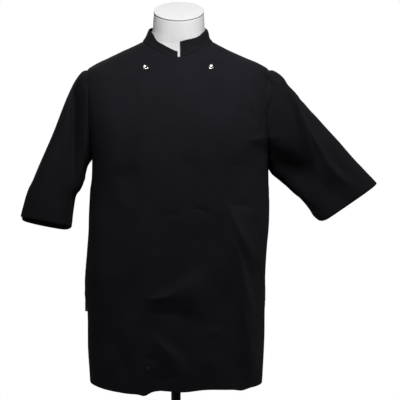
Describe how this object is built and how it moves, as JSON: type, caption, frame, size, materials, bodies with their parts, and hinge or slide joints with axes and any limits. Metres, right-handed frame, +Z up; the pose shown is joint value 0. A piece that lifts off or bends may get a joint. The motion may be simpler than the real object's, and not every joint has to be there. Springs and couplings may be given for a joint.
{
  "type": "work shirt on a dress form",
  "caption": "Black short-sleeved double-breasted work shirt with a stand collar, worn by a white limbless dress form on a pole stand.",
  "frame": {"origin": "middle of the stand base's underside, on the floor", "axes": "+Z up the pole, the shirt's front faces -Y, and the wearer's left is +X"},
  "size_m": [0.8178, 0.38, 1.543],
  "materials": {
    "twill": "black polyester-cotton twill, matt",
    "tape": "grey woven tape, bare",
    "stud": "polished nickel plate",
    "jersey": "white stretch jersey over foam",
    "plate": "white painted plate, satin",
    "paint": "black paint, satin"
  },
  "bodies": {
    "root": {"front_right": "twill", "front_left": "twill", "back": "twill", "sleeve_right": "twill", "sleeve_left": "twill", "collar": "twill", "side_tab": "tape", "stud_upper_right": "stud", "stud_upper_left": "stud", "stud_lower_right": "stud", "form": "jersey", "neck_cap": "plate", "pole": "paint", "base": "paint"}
  },
  "joints": []
}
